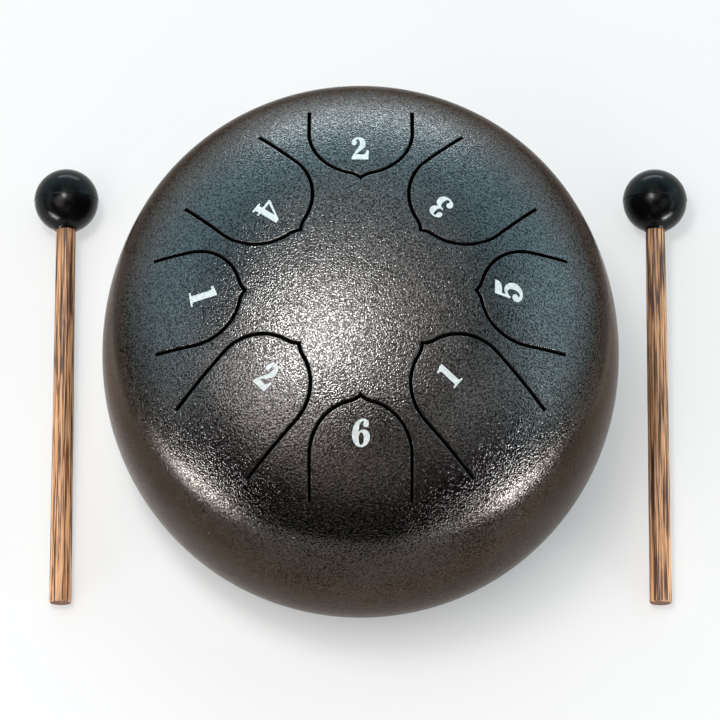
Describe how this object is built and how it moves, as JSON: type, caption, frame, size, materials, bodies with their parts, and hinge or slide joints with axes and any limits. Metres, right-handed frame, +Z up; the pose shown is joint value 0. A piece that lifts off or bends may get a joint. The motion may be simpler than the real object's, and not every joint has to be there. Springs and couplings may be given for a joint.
{
  "type": "steel tongue drum",
  "caption": "Round steel tongue drum: crowned shell with arched tongue slots, flat base with a sound hole on rubber feet, and rubber-headed wooden mallets that lie beside it.",
  "frame": {"origin": "on the table under the drum's centre, level with the undersides of the feet", "axes": "+Z up along the drum's axis, +X to the player's right, -Y towards the player"},
  "size_m": [0.2016, 0.155, 0.1065],
  "materials": {
    "coated_steel": "dark grey textured powder coat, satin",
    "foot_rubber": "matt moulded rubber",
    "fastener_steel": "zinc plated",
    "mallet_rubber": "smooth moulded rubber, semi-gloss",
    "stick_wood": "turned, streaky brown grain, satin"
  },
  "bodies": {
    "drum": {"upper_shell": "coated_steel", "lower_shell": "coated_steel", "foot_rear": "foot_rubber", "foot_washer_rear": "fastener_steel", "foot_screw_rear": "fastener_steel", "foot_nut_rear": "fastener_steel", "foot_left": "foot_rubber", "foot_washer_left": "fastener_steel", "foot_screw_left": "fastener_steel", "foot_nut_left": "fastener_steel", "foot_right": "foot_rubber", "foot_washer_right": "fastener_steel", "foot_screw_right": "fastener_steel", "foot_nut_right": "fastener_steel"},
    "mallet_left": {"mallet_head_left": "mallet_rubber", "mallet_stick_left": "stick_wood"},
    "mallet_right": {"mallet_head_right": "mallet_rubber", "mallet_stick_right": "stick_wood"}
  },
  "joints": [
    {"name": "mallet_left_lift", "type": "slide", "parent": "drum", "child": "mallet_left", "axis": [0, 0, 1], "range_m": [0, 0.15]},
    {"name": "mallet_right_lift", "type": "slide", "parent": "drum", "child": "mallet_right", "axis": [0, 0, 1], "range_m": [0, 0.15]}
  ]
}
